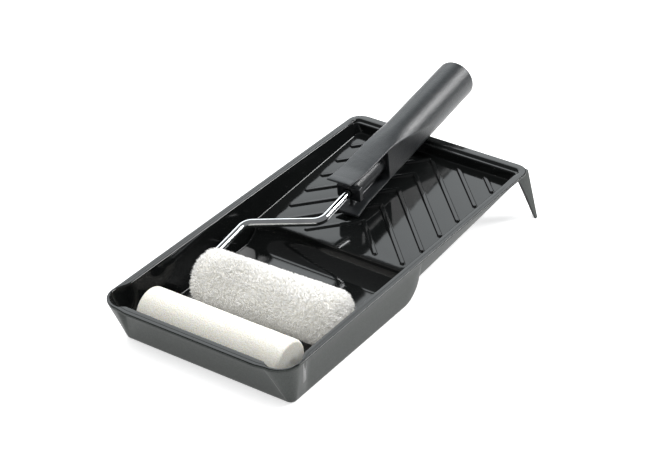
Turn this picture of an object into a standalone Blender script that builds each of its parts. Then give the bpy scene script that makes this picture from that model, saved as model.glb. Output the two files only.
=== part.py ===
"""Paint tray kit: a moulded tray, a mini roller whose handle rests on its rear rim, and a spare foam sleeve.

Metres, +Z up. The origin is the middle of the well's underside, +Y runs up the ramp and +X is to the
right when the well is in front. Run it with: blender --background --python part.py
"""

import math

import bmesh
import bpy
from mathutils import Vector

# Tray: lengths along Y are from the front edge of the rim, heights are below the rim.
TRAY_WIDTH = 0.150
TRAY_LENGTH = 0.3043
TRAY_DEPTH = 0.035
WALL = 0.0018
ORIGIN_FROM_FRONT = 0.087
SIDE_FLANGE = 0.0056
FRONT_FLANGE = 0.007
REAR_FLANGE = 0.0073
REAR_STEP_WIDTH = 0.0032
REAR_STEP_DROP = 0.0015
CORNER_SETBACK = 0.0015
FRONT_CORNER_RADIUS = 0.0160
REAR_CORNER_RADIUS = 0.0110
SPOUT_LIP = 0.0019
FLOOR_HALF_WIDTH = 0.0659
FLOOR_FRONT = 0.0198
FLOOR_REAR = 0.2935
FLOOR_FRONT_RADIUS = 0.0030
FLOOR_REAR_RADIUS = 0.0050
RISER_RADIUS = 0.0155
RAMP_FRONT = 0.1642
RAMP_FRONT_DEPTH = 0.0187
RAMP_SLOPE = 0.075
FLOOR_FILLET = 0.0020

# Chevron ribs on the ramp.
RIB_COUNT = 7
RIB_FIRST_APEX = 0.2000
RIB_PITCH = 0.0224
RIB_WIDTH = 0.0032
RIB_HEIGHT = 0.0011
RIB_START = 0.1716
RIB_SIDE_END = 0.0529
RIB_SIDE_SPREAD = 0.0012
RIB_REAR_GAP = 0.0015

# Rear legs, each an angle section that flares outwards down to the bench.
LEG_FLARE = 0.0105
LEG_TOP_WIDTH = 0.0165
LEG_FOOT_WIDTH = 0.0040

# Roller: the axle lies across the well, the handle points up the ramp and rests on the rear rim.
AXLE_FROM_FRONT = 0.0822
AXLE_HEIGHT = 0.0218
AXLE_YAW = math.radians(2.5)
HANDLE_TILT = math.radians(7.52)
WIRE_RADIUS = 0.0030
WIRE_LEG_X = -0.0541
WIRE_SHOULDER = 0.0589
WIRE_NECK = 0.0833
HANDLE_X = -0.0074
WIRE_IN_HANDLE = 0.185
WIRE_TIP_X = 0.0500
FIT_GAP = 0.0003

# Sleeves.
PILE_RADIUS = 0.0191
PILE_LEFT = -0.0485
PILE_RIGHT = 0.0595
FOAM_RADIUS = 0.0162
FOAM_LENGTH = 0.1140
FOAM_CENTRE_X = 0.0005
FOAM_FROM_FRONT = 0.0320
FOAM_EDGE_RADIUS = 0.0022
CORE_RADIUS = 0.0090
CORE_WALL = 0.0015
CORE_INSET = 0.0030
CLOSED_END = 0.0050
END_DOME = 0.0010
DIMPLE_DEPTH = 0.0015
DIMPLE_RADIUS = 0.0055
PILE_EDGE_RADIUS = 0.0050
BEARING_LENGTH = 0.0090
BEARING_FLANGE = 0.0015

# Handle: lengths are along its own axis from the axle. Its head is two plates round a block and a boss.
GRIP_RADIUS = 0.0147
HANDLE_END = 0.2770
HEAD_START = 0.1083
LOWER_PLATE_START = 0.1150
HEAD_RADIUS = 0.0158
HEAD_HALF_WIDTH = 0.0100
LIP_HALF_WIDTH = 0.0095
LIP_HEIGHT = 0.0173
LOWER_LIP_HEIGHT = 0.0162
LIP_LENGTH = 0.0240
FLARE_START = 0.1580
FLARE_LENGTH = 0.0660
GRIP_START = 0.2000
PLATE_WALL = 0.0016
INNER_PLANE = 0.0110
WINDOW_END = 0.1585
BLOCK_START = 0.1191
BLOCK_THICKNESS = 0.0050
BLOCK_HALF_WIDTH = 0.0094
BLOCK_HALF_HEIGHT = 0.0054
BOSS_RADIUS = 0.0070
WEB_HALF_WIDTH = 0.0012
BORE_END = 0.1880
BEYOND = 0.0200
# The closed end of the grip: distance before the end, and share of the radius there.
END_STEPS = ((0.0030, 1.0), (0.0018, 0.97), (0.0009, 0.90), (0.0004, 0.70), (0.0001, 0.35))

FLOOR_DEPTH = TRAY_DEPTH - WALL
REST_GAP = 0.0003
RISER_HEIGHT = FLOOR_DEPTH - RAMP_FRONT_DEPTH
RISER_START = RAMP_FRONT - math.sqrt(RISER_RADIUS**2 - (RISER_RADIUS - RISER_HEIGHT) ** 2)
ROUND_STEPS = 40
ARCH_POINTS = 13
FRONT_POINTS = 6
REAR_POINTS = 5


def clear_scene():
    for obj in list(bpy.data.objects):
        bpy.data.objects.remove(obj, do_unlink=True)


def new_collection(name):
    collection = bpy.data.collections.new(name)
    bpy.context.scene.collection.children.link(collection)
    return collection


def plastic(name, colour, roughness, metallic=0.0):
    material = bpy.data.materials.new(name)
    material.use_nodes = True
    shader = material.node_tree.nodes["Principled BSDF"]
    shader.inputs["Base Color"].default_value = (*colour, 1.0)
    shader.inputs["Roughness"].default_value = roughness
    shader.inputs["Metallic"].default_value = metallic
    return material


def mesh_object(name, bm, collection, material=None, smooth=False):
    """An object made from bm, which is freed."""
    mesh = bpy.data.meshes.new(name)
    bm.to_mesh(mesh)
    bm.free()
    if smooth:
        mesh.shade_smooth()
        mesh.set_sharp_from_angle(angle=math.radians(35))
    obj = bpy.data.objects.new(name, mesh)
    collection.objects.link(obj)
    if material:
        mesh.materials.append(material)
    return obj


def as_cutter(obj):
    obj.hide_render = True
    obj.display_type = "WIRE"
    return obj


def boolean(obj, operation, other):
    modifier = obj.modifiers.new(other.name, "BOOLEAN")
    modifier.operation = operation
    modifier.object = other


def box(name, low, high, collection):
    bm = bmesh.new()
    bmesh.ops.create_cube(bm, size=1.0)
    low, high = Vector(low), Vector(high)
    size = high - low
    for vert in bm.verts:
        vert.co = (low + high) / 2 + Vector(vert.co[i] * size[i] for i in range(3))
    return mesh_object(name, bm, collection)


def turned(name, profile, collection, material):
    """A body turned about its Z axis from (radius, height) points that run down its outer side."""
    bm = bmesh.new()
    verts = [bm.verts.new((radius, 0.0, height)) for radius, height in profile]
    for first, second in zip(verts, verts[1:]):
        bm.edges.new((first, second))
    if profile[0] != profile[-1] and profile[0][0] > 0:
        bm.edges.new((verts[-1], verts[0]))
    obj = mesh_object(name, bm, collection, material)
    screw = obj.modifiers.new("turn", "SCREW")
    screw.axis = "Z"
    screw.angle = math.tau
    screw.steps = ROUND_STEPS
    screw.render_steps = ROUND_STEPS
    screw.use_merge_vertices = True
    screw.merge_threshold = 0.00001
    screw.use_smooth_shade = True
    return obj


# ---------------------------------------------------------------- tray

def floor_height(y):
    """Depth of the tray's inside below the rim at y from the front: well, rounded riser, then ramp."""
    if y <= RISER_START:
        return -FLOOR_DEPTH
    if y < RAMP_FRONT:
        return -FLOOR_DEPTH + RISER_RADIUS - math.sqrt(RISER_RADIUS**2 - (y - RISER_START) ** 2)
    return -RAMP_FRONT_DEPTH + RAMP_SLOPE * (y - RAMP_FRONT)


def arc(centre, radius, start, end, count):
    """Points on an arc in degrees, end points included."""
    angles = [math.radians(start + (end - start) * i / (count - 1)) for i in range(count)]
    return [(centre[0] + radius * math.cos(a), centre[1] + radius * math.sin(a)) for a in angles]


def side_stations():
    """Lengths from the front at which every ring has a point on its side."""
    well = [0.034, 0.060, 0.090, 0.120, 0.140]
    riser = [RISER_START + RISER_RADIUS * math.sin(math.radians(a)) for a in (0, 20, 38, 53, 66, 77)]
    ramp = [RAMP_FRONT, 0.172, 0.195, 0.225, 0.255, 0.284]
    return well + riser + ramp


def ring(half_width, front, rear, front_run, front_corner, rear_radius):
    """Half of a closed outline from the front's middle to the rear's middle, as (x, y) points.

    front_run is where the straight front stops, and front_corner the list of points round the corner.
    """
    points = [(front_run * i / (FRONT_POINTS - 1), front) for i in range(FRONT_POINTS)]
    points += front_corner
    points += [(half_width, y) for y in side_stations()]
    centre = (half_width - rear_radius, rear - rear_radius)
    points += arc(centre, rear_radius, 0, 90, 6)
    points += [(centre[0] * (REAR_POINTS - 1 - i) / REAR_POINTS, rear) for i in range(REAR_POINTS)]
    return points


def tray_rings():
    """Rings of (x, y, z) from the rim's outer edge down the walls to the edge of the floor."""
    half = TRAY_WIDTH / 2
    corner = (half - FRONT_CORNER_RADIUS, CORNER_SETBACK + FRONT_CORNER_RADIUS)
    outer_corner = arc(corner, FRONT_CORNER_RADIUS, -90, 0, 7)
    spout_corner = arc(corner, FRONT_CORNER_RADIUS - SPOUT_LIP, -92, 6, 7)
    inner_half = half - SIDE_FLANGE
    outer = ring(half, 0.0, TRAY_LENGTH, corner[0] - 0.011, outer_corner, REAR_CORNER_RADIUS)
    step_y = TRAY_LENGTH - REAR_FLANGE
    inner_y = step_y - REAR_STEP_WIDTH
    step = ring(inner_half, FRONT_FLANGE, step_y, 0.0530, spout_corner, REAR_CORNER_RADIUS / 3)
    inner = ring(inner_half, FRONT_FLANGE, inner_y, 0.0530, spout_corner, REAR_CORNER_RADIUS / 3)
    floor_centre = (FLOOR_HALF_WIDTH - FLOOR_FRONT_RADIUS, FLOOR_FRONT + FLOOR_FRONT_RADIUS)
    floor_corner = arc(floor_centre, FLOOR_FRONT_RADIUS, -90, 0, 7)
    front_run = floor_centre[0] - 0.004
    bottom = ring(
        FLOOR_HALF_WIDTH, FLOOR_FRONT, FLOOR_REAR, front_run, floor_corner, FLOOR_REAR_RADIUS
    )

    def dropped(points, behind):
        """The rear band of the rim steps down: points behind the side stations take the drop."""
        return [(x, y, -REAR_STEP_DROP if y > behind else 0.0) for x, y in points]

    last_station = side_stations()[-1]
    rings = [[(x, y, 0.0) for x, y in outer], [(x, y, 0.0) for x, y in step]]
    top = dropped(inner, last_station + 0.002)
    rings.append(top)
    depths = [floor_height(y) for _, y in bottom]
    fillet = FLOOR_FILLET
    for share in (1.0, 0.3):
        wall = []
        for (tx, ty, tz), (bx, by), depth in zip(top, bottom, depths):
            lift = min(fillet * share, 0.8 * (tz - depth))
            t = 1.0 - lift / (tz - depth)
            wall.append((tx + (bx - tx) * t, ty + (by - ty) * t, depth + lift))
        rings.append(wall)
    inward = fillet * 0.7
    edge = ring(
        FLOOR_HALF_WIDTH - inward,
        FLOOR_FRONT + inward,
        FLOOR_REAR - inward,
        front_run,
        arc(floor_centre, FLOOR_FRONT_RADIUS - inward, -90, 0, 7),
        FLOOR_REAR_RADIUS - inward,
    )
    rings.append([(x, y, floor_height(y)) for x, y in edge])
    return rings


def tray_surface():
    """The paint side of the tray's right half as one open bmesh, with its faces towards the paint."""
    bm = bmesh.new()

    def vert(point):
        x, y, z = point
        return bm.verts.new((x, y - ORIGIN_FROM_FRONT, z + TRAY_DEPTH))

    rings = [[vert(point) for point in points] for points in tray_rings()]
    for upper, lower in zip(rings, rings[1:]):
        for i in range(len(upper) - 1):
            corners = (upper[i], upper[i + 1], lower[i + 1], lower[i])
            bm.faces.new(corners)
    # The floor: strips from the inner ring to the middle line, the ends closed by one face each.
    edge = rings[-1]
    first, last = FRONT_POINTS + 1, len(edge) - REAR_POINTS - 2
    middle = {i: bm.verts.new((0.0, edge[i].co.y, edge[i].co.z)) for i in range(first, last + 1)}
    bm.faces.new(edge[: first + 1] + [middle[first]])
    for i in range(first, last):
        bm.faces.new((edge[i], edge[i + 1], middle[i + 1], middle[i]))
    bm.faces.new(edge[last:] + [middle[last]])
    bmesh.ops.remove_doubles(bm, verts=bm.verts, dist=0.00002)
    bmesh.ops.recalc_face_normals(bm, faces=bm.faces)
    bm.faces.ensure_lookup_table()
    floor_face = max(bm.faces, key=lambda face: face.calc_area())
    if floor_face.normal.z < 0:
        bmesh.ops.reverse_faces(bm, faces=bm.faces)
    return bm


def add_prism(bm, outline, low, high):
    """A prism on a closed (x, y) outline, between two heights given as functions of (x, y)."""
    bottom = [bm.verts.new((x, y, low(x, y))) for x, y in outline]
    top = [bm.verts.new((x, y, high(x, y))) for x, y in outline]
    faces = [bm.faces.new(reversed(bottom)), bm.faces.new(top)]
    count = len(outline)
    for i in range(count):
        j = (i + 1) % count
        faces.append(bm.faces.new((bottom[i], bottom[j], top[j], top[i])))
    bmesh.ops.recalc_face_normals(bm, faces=faces)


def rib_arm(number, side):
    """Outline of one arm of a chevron, from its free end to the middle or, on the last ones, the rear wall.

    The arms of one chevron are cut square across the middle line, where they share an edge.
    """
    apex = RIB_FIRST_APEX + RIB_PITCH * number
    half = RIB_WIDTH / 2 * math.sqrt(2)
    reach = min(apex - RIB_START, RIB_SIDE_END + RIB_SIDE_SPREAD * number)
    rear = FLOOR_REAR - RIB_REAR_GAP
    chamfer = half * 0.45
    front_x, rear_x = max(0.0, apex - half - rear), max(0.0, apex + half - rear)
    points = [
        (reach - chamfer, apex - half - reach + chamfer),
        (reach + chamfer * 0.2, apex - half - reach + chamfer * 0.8),
        (reach + chamfer * 0.2, apex + half - reach - chamfer * 0.8),
        (reach - chamfer * 0.6, apex + half - reach + chamfer * 0.6),
        (rear_x, apex + half - rear_x),
    ]
    if rear_x > 0 and front_x == 0:
        points.append((0.0, rear))
    points.append((front_x, apex - half - front_x))
    return [(side * x, y - ORIGIN_FROM_FRONT) for x, y in points]


def ribs(collection):
    """The seven chevrons that squeeze the roller, apex to the rear, standing on the ramp."""

    def height(offset):
        return lambda x, y: floor_height(y + ORIGIN_FROM_FRONT) + TRAY_DEPTH + offset

    bm = bmesh.new()
    for number in range(RIB_COUNT):
        right = rib_arm(number, 1)
        left = rib_arm(number, -1)[::-1]
        joined = right[:-1] + [point for point in left if abs(point[0]) > 0.00001] + right[-1:]
        outlines = [joined] if right[-1][0] == 0 else [right, left]
        for outline in outlines:
            add_prism(bm, outline, height(-WALL / 2), height(RIB_HEIGHT))
    return as_cutter(mesh_object("ribs", bm, collection))


def leg(side, collection):
    """An angle section under a rear corner: flanks along the side and the rear, drawn in towards the foot."""
    bm = bmesh.new()
    half, rear = TRAY_WIDTH / 2 - 0.0012, TRAY_LENGTH - ORIGIN_FROM_FRONT - 0.0012
    levels = (
        (half, rear, LEG_TOP_WIDTH, TRAY_DEPTH - WALL * 0.6),
        (half + LEG_FLARE, rear - 0.0025, LEG_FOOT_WIDTH, 0.0),
    )
    loops = []
    for x, y, width, z in levels:
        outline = (
            (x, y), (x - width, y), (x - width, y - WALL),
            (x - WALL, y - WALL), (x - WALL, y - width), (x, y - width),
        )
        loops.append([bm.verts.new((side * px, py, z)) for px, py in outline])
    top, foot = loops
    bm.faces.new(top)
    bm.faces.new(reversed(foot))
    for i in range(len(top)):
        bm.faces.new((foot[i], foot[(i + 1) % 6], top[(i + 1) % 6], top[i]))
    bmesh.ops.recalc_face_normals(bm, faces=bm.faces)
    name = "leg_right" if side > 0 else "leg_left"
    return as_cutter(mesh_object(name, bm, collection))


def make_tray(parts, cutters):
    material = plastic("tray_plastic", (0.020, 0.022, 0.024), 0.22)
    tray = mesh_object("tray_body", tray_surface(), parts, material, smooth=True)
    mirror = tray.modifiers.new("halves", "MIRROR")
    mirror.use_clip = True
    mirror.merge_threshold = 0.00005
    shell = tray.modifiers.new("wall", "SOLIDIFY")
    shell.thickness = WALL
    shell.offset = -1.0
    shell.use_even_offset = True
    for side in (1, -1):
        boolean(tray, "UNION", leg(side, cutters))
    boolean(tray, "UNION", ribs(cutters))


# ---------------------------------------------------------------- roller frame

def rounded_path(corners, radii, step_angle=15.0):
    """A polyline through the corners, each bend replaced by an arc of its radius."""
    points = [Vector(corners[0])]
    for before, corner, after, radius in zip(corners, corners[1:], corners[2:], radii):
        corner = Vector(corner)
        into = (corner - Vector(before)).normalized()
        out = (Vector(after) - corner).normalized()
        turn = into.angle(out)
        reach = radius * math.tan(turn / 2)
        start = corner - into * reach
        side = (out - into * into.dot(out)).normalized()
        steps = max(2, round(math.degrees(turn) / step_angle))
        for i in range(steps + 1):
            a = turn * i / steps
            points.append(start + into * radius * math.sin(a) + side * radius * (1 - math.cos(a)))
    points.append(Vector(corners[-1]))
    return points


def make_wire(parts, pivot):
    """The bent steel wire: axle, leg, slanting shoulder and the tang inside the handle."""
    curve = bpy.data.curves.new("frame_wire", "CURVE")
    curve.dimensions = "3D"
    curve.bevel_depth = WIRE_RADIUS
    curve.bevel_resolution = 3
    curve.use_fill_caps = True
    corners = [
        (WIRE_TIP_X, 0.0, 0.0),
        (WIRE_LEG_X, 0.0, 0.0),
        (WIRE_LEG_X, WIRE_SHOULDER, 0.0),
        (HANDLE_X, WIRE_NECK, 0.0),
        (HANDLE_X, WIRE_IN_HANDLE, 0.0),
    ]
    points = rounded_path(corners, (0.0065, 0.0090, 0.0100))
    spline = curve.splines.new("POLY")
    spline.points.add(len(points) - 1)
    for place, point in zip(spline.points, points):
        place.co = (*point, 1.0)
    obj = bpy.data.objects.new("frame_wire", curve)
    curve.materials.append(plastic("chromed_steel", (0.75, 0.76, 0.78), 0.08, 1.0))
    parts.objects.link(obj)
    obj.parent = pivot


def eased(value, start, length):
    """Rises smoothly from 0 at the start to 1 one length further."""
    t = min(1.0, max(0.0, (value - start) / length))
    return t * t * (3 - 2 * t)


def head_half_width(s):
    """Half width of the handle seen from above: narrow at the head, flaring out to the round grip."""
    lip = (HEAD_HALF_WIDTH - LIP_HALF_WIDTH) * (1 - eased(s, HEAD_START, LIP_LENGTH))
    full = GRIP_RADIUS + 0.0001
    return HEAD_HALF_WIDTH - lip + (full - HEAD_HALF_WIDTH) * eased(s, FLARE_START, FLARE_LENGTH)


def handle_section(s, radius):
    """(x, z) points round the handle: an arched top and belly between flat flanks, flattening at the lips."""
    widest = math.asin(min(head_half_width(s) / radius, math.sin(math.radians(88))))
    flat = 1 - eased(s, HEAD_START, LIP_LENGTH)
    points = []
    for side, lip in ((1, LIP_HEIGHT), (-1, LOWER_LIP_HEIGHT)):
        for i in range(ARCH_POINTS):
            angle = side * widest * (2 * i / (ARCH_POINTS - 1) - 1)
            height = radius * math.cos(angle)
            points.append((radius * math.sin(angle), side * (height + (lip - height) * flat)))
    return points


def handle_blank():
    """The handle's outer shape as one closed bmesh along Y, from the lips to the rounded end."""
    bm = bmesh.new()
    end = [HANDLE_END - distance for distance, _ in END_STEPS]
    steps = [HEAD_START + LIP_LENGTH * i / 6 for i in range(7)] + [0.145, FLARE_START]
    steps += [0.170, 0.180, 0.190, GRIP_START, 0.210, FLARE_START + FLARE_LENGTH, 0.250]
    shares = [1.0] * len(steps) + [share for _, share in END_STEPS]
    loops = []
    for s, share in zip(steps + end, shares):
        arch = HEAD_RADIUS - (HEAD_RADIUS - GRIP_RADIUS) * eased(s, HEAD_START + LIP_LENGTH, 0.068)
        loops.append([bm.verts.new((x, s, z)) for x, z in handle_section(s, arch * share)])
    bm.faces.new(loops[0])
    for first, second in zip(loops, loops[1:]):
        for i in range(len(first)):
            j = (i + 1) % len(first)
            bm.faces.new((first[i], first[j], second[j], second[i]))
    tip = bm.verts.new((0.0, HANDLE_END, 0.0))
    for first, second in zip(loops[-1], loops[-1][1:] + loops[-1][:1]):
        bm.faces.new((first, second, tip))
    bmesh.ops.recalc_face_normals(bm, faces=bm.faces)
    return bm


def head_cavity(cutters):
    """What is hollow between the two plates: a side-to-side opening less the block, the boss and the web."""
    upper, lower = LIP_HEIGHT - PLATE_WALL, LOWER_LIP_HEIGHT - PLATE_WALL
    start, throat = HEAD_START - BEYOND, HEAD_START + LIP_LENGTH
    outline = [
        (start, upper), (HEAD_START, upper), (throat, INNER_PLANE), (WINDOW_END, INNER_PLANE),
        (WINDOW_END, -INNER_PLANE), (throat, -INNER_PLANE), (HEAD_START, -lower), (start, -lower),
    ]
    bm = bmesh.new()
    near, far = ([bm.verts.new((x, s, z)) for s, z in outline] for x in (-BEYOND, BEYOND))
    bm.faces.new(near)
    bm.faces.new(far)
    for i in range(len(outline)):
        j = (i + 1) % len(outline)
        bm.faces.new((near[i], near[j], far[j], far[i]))
    bmesh.ops.recalc_face_normals(bm, faces=bm.faces)
    cavity = mesh_object("head_cavity", bm, cutters)
    block_end = BLOCK_START + BLOCK_THICKNESS
    inside = BLOCK_START + BLOCK_THICKNESS / 2
    block = box(
        "wire_block", (-BLOCK_HALF_WIDTH, BLOCK_START, -BLOCK_HALF_HEIGHT),
        (BLOCK_HALF_WIDTH, block_end, BLOCK_HALF_HEIGHT), cutters,
    )
    web = box(
        "head_web", (-WEB_HALF_WIDTH, inside, -BEYOND), (WEB_HALF_WIDTH, WINDOW_END + BEYOND, BEYOND), cutters
    )
    boss = turned_cylinder("wire_boss", BOSS_RADIUS, inside, WINDOW_END + BEYOND, cutters)
    for kept in (block, web, boss):
        boolean(cavity, "DIFFERENCE", kept)
    return cavity, [block, web, boss]


def make_handle(parts, cutters, pivot):
    """A round grip whose head splits into two plates, with the wire's block and boss between them."""
    material = plastic("handle_plastic", (0.045, 0.049, 0.053), 0.42)
    handle = mesh_object("handle_body", handle_blank(), parts, material, smooth=True)
    cavity, kept = head_cavity(cutters)
    chin = box(
        "chin", (-BEYOND, HEAD_START - BEYOND / 2, -2 * BEYOND),
        (BEYOND, LOWER_PLATE_START, -INNER_PLANE), cutters,
    )
    bore = turned_cylinder("wire_bore", WIRE_RADIUS + FIT_GAP, HEAD_START, BORE_END, cutters)
    for cutter in (cavity, chin, bore):
        boolean(handle, "DIFFERENCE", cutter)
    for obj in [handle, cavity, chin, bore] + kept:
        obj.parent = pivot
        obj.location = (HANDLE_X, 0.0, 0.0)
        if obj is not handle:
            as_cutter(obj)


def turned_cylinder(name, radius, start, end, collection):
    """A closed cylinder along Y between two lengths."""
    bm = bmesh.new()
    bmesh.ops.create_cone(
        bm, cap_ends=True, segments=24, radius1=radius, radius2=radius, depth=end - start
    )
    for vert in bm.verts:
        x, y, z = vert.co
        vert.co = (x, z + (start + end) / 2, -y)
    return mesh_object(name, bm, collection)


# ---------------------------------------------------------------- sleeves

def tube_profile(outer, inner, left, right):
    """(radius, height) points of a plain tube's section, going down its outer side."""
    return [(outer, right), (outer, left), (inner, left), (inner, right)]


def cover_profile(outer, left, right, edge_radius):
    """Section of a sleeve's soft cover: a bore that is open at the left, and a domed right end with a dimple."""
    bore, bore_end = CORE_RADIUS + FIT_GAP, right - CLOSED_END
    centre = outer - edge_radius

    def face(radius):
        dimple = 0.5 + 0.5 * math.cos(math.pi * min(1.0, radius / DIMPLE_RADIUS))
        return right - END_DOME * (radius / centre) ** 2 - DIMPLE_DEPTH * dimple

    end = [(radius, face(radius)) for radius in (centre * i / 8 for i in range(8))]
    angles = [math.radians(18 * i) for i in range(6)]
    right_rim, left_rim = right - END_DOME - edge_radius, left + edge_radius
    top = [(centre + edge_radius * math.sin(a), right_rim + edge_radius * math.cos(a)) for a in angles]
    bottom = [(r, left_rim - edge_radius * math.cos(a)) for (r, _), a in zip(reversed(top), reversed(angles))]
    return end + top + bottom + [(bore, left), (bore, bore_end), (0.0, bore_end)]


def along_x(obj, parent, location):
    obj.parent = parent
    obj.rotation_euler = (0.0, math.pi / 2, 0.0)
    obj.location = location


def make_sleeve_core(name, left, right, parts, parent, location):
    core = plastic("core_plastic", (0.55, 0.55, 0.52), 0.5)
    tube = turned(name, tube_profile(CORE_RADIUS, CORE_RADIUS - CORE_WALL, left, right), parts, core)
    along_x(tube, parent, location)


def core_ends(left, right):
    """Where the core of a sleeve starts and stops inside its cover."""
    return left + CORE_INSET, right - CLOSED_END - BEARING_FLANGE - 2 * FIT_GAP


def make_pile_sleeve(parts, pivot):
    pile = plastic("pile_fleece", (0.80, 0.79, 0.75), 0.9)
    profile = cover_profile(PILE_RADIUS, PILE_LEFT, PILE_RIGHT, PILE_EDGE_RADIUS)
    along_x(turned("pile_cover", profile, parts, pile), pivot, (0.0, 0.0, 0.0))
    left, right = core_ends(PILE_LEFT, PILE_RIGHT)
    make_sleeve_core("pile_core", left, right, parts, pivot, (0.0, 0.0, 0.0))


def make_bearings(parts, pivot):
    """The two plastic bearings that turn on the wire: a bush at the bend and a closed cap at the tip."""
    black = plastic("bearing_plastic", (0.03, 0.03, 0.032), 0.35)
    body = CORE_RADIUS - CORE_WALL - FIT_GAP
    bore = WIRE_RADIUS + FIT_GAP
    left, core_right = core_ends(PILE_LEFT, PILE_RIGHT)
    bush_profile = [
        (body, left + BEARING_LENGTH), (body, left - FIT_GAP), (CORE_RADIUS, left - FIT_GAP),
        (CORE_RADIUS, left - FIT_GAP - BEARING_FLANGE), (bore, left - FIT_GAP - BEARING_FLANGE),
        (bore, left + BEARING_LENGTH),
    ]
    along_x(turned("inner_bearing", bush_profile, parts, black), pivot, (0.0, 0.0, 0.0))
    right = core_right + FIT_GAP
    cap_profile = [
        (0.0, right + BEARING_FLANGE), (CORE_RADIUS, right + BEARING_FLANGE), (CORE_RADIUS, right),
        (body, right), (body, right - BEARING_LENGTH), (bore, right - BEARING_LENGTH),
        (bore, WIRE_TIP_X + FIT_GAP), (0.0, WIRE_TIP_X + FIT_GAP),
    ]
    along_x(turned("outer_bearing", cap_profile, parts, black), pivot, (0.0, 0.0, 0.0))


def make_spare_sleeve(parts):
    foam = plastic("roller_foam", (0.86, 0.84, 0.76), 0.85)
    place = bpy.data.objects.new("spare_place", None)
    parts.objects.link(place)
    height = WALL + FOAM_RADIUS + REST_GAP
    place.location = (FOAM_CENTRE_X, FOAM_FROM_FRONT - ORIGIN_FROM_FRONT, height)
    half = FOAM_LENGTH / 2
    profile = cover_profile(FOAM_RADIUS, -half, half, FOAM_EDGE_RADIUS)
    along_x(turned("foam_cover", profile, parts, foam), place, (0.0, 0.0, 0.0))
    left, right = core_ends(-half, half)
    make_sleeve_core("foam_core", left, right, parts, place, (0.0, 0.0, 0.0))


def main():
    clear_scene()
    parts = new_collection("paint_roller_tray")
    cutters = new_collection("cutters")
    make_tray(parts, cutters)
    pivot = bpy.data.objects.new("axle_pivot", None)
    parts.objects.link(pivot)
    pivot.location = (0.0, AXLE_FROM_FRONT - ORIGIN_FROM_FRONT, AXLE_HEIGHT)
    pivot.rotation_euler = (HANDLE_TILT, 0.0, AXLE_YAW)
    make_wire(parts, pivot)
    make_handle(parts, cutters, pivot)
    make_pile_sleeve(parts, pivot)
    make_bearings(parts, pivot)
    make_spare_sleeve(parts)


main()
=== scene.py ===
"""Looks of the paint tray kit: tray moulding, mini roller with fleece sleeve, and spare foam sleeve.

Metres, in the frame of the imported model: the origin is the middle of the well's underside, +Y runs up
the ramp. Lengths called "from the front" start at the front edge of the tray's rim.
"""

import contextlib
import itertools
import math

import bmesh
import bpy
import numpy as np
from mathutils import Euler, Matrix, Vector, kdtree
from mathutils.geometry import delaunay_2d_cdt


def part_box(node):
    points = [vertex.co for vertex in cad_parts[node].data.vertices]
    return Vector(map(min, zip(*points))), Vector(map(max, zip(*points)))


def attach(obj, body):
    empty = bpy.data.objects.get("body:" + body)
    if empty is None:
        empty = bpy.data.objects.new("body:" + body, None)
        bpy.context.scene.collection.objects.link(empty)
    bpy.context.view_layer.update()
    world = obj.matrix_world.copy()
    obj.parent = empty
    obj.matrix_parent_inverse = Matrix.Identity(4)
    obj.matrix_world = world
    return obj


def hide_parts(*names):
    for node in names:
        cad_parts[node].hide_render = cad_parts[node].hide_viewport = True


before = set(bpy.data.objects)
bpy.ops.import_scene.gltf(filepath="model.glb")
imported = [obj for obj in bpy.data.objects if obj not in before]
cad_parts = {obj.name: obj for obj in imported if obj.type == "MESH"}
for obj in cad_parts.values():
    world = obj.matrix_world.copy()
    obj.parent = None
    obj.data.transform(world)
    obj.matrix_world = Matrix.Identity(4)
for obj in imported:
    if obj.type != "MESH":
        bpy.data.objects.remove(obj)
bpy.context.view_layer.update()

# ---- sizes, as in the CAD model

TRAY_LOW, TRAY_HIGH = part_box("tray_body")
TRAY_DEPTH = TRAY_HIGH.z
TRAY_WIDTH = 0.150
TRAY_LENGTH = 0.3043
ORIGIN_FROM_FRONT = -TRAY_LOW.y
WALL = 0.0018
FLOOR_DEPTH = TRAY_DEPTH - WALL
SIDE_FLANGE = 0.0056
FRONT_FLANGE = 0.0070
REAR_FLANGE = 0.0073
STEP_WIDTH = 0.0032
STEP_DROP = 0.0015
CORNER_SETBACK = 0.0015
FRONT_CORNER_RADIUS = 0.0160
REAR_CORNER_RADIUS = 0.0110
SPOUT_LIP = 0.0019
FLOOR_HALF_WIDTH = 0.0659
FLOOR_FRONT = 0.0198
FLOOR_REAR = 0.2935
FLOOR_FRONT_RADIUS = 0.0030
FLOOR_REAR_RADIUS = 0.0050
RISER_RADIUS = 0.0155
RAMP_FRONT = 0.1642
RAMP_FRONT_DEPTH = 0.0187
RAMP_SLOPE = 0.075

RIB_COUNT = 7
RIB_FIRST_APEX = 0.2000
RIB_PITCH = 0.0224
RIB_START = 0.1716
RIB_SIDE_END = 0.0521
RIB_SIDE_SPREAD = 0.0012
RIB_REAR_END = 0.2880
RIB_CLEARANCE = 0.0026

LEG_FLARE = 0.0105
LEG_TOP_WIDTH = 0.0165
LEG_FOOT_WIDTH = 0.0040

AXLE_HEIGHT = 0.0218
AXLE_FROM_FRONT = 0.0822
AXLE_YAW = math.radians(2.5)
HANDLE_TILT = math.radians(7.52)
WIRE_RADIUS = 0.0030
WIRE_LEG_X = -0.0541
WIRE_SHOULDER = 0.0589
WIRE_NECK = 0.0833
HANDLE_X = -0.0074
WIRE_IN_HANDLE = 0.185
WIRE_TIP_X = 0.0500
FIT_GAP = 0.0003

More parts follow.
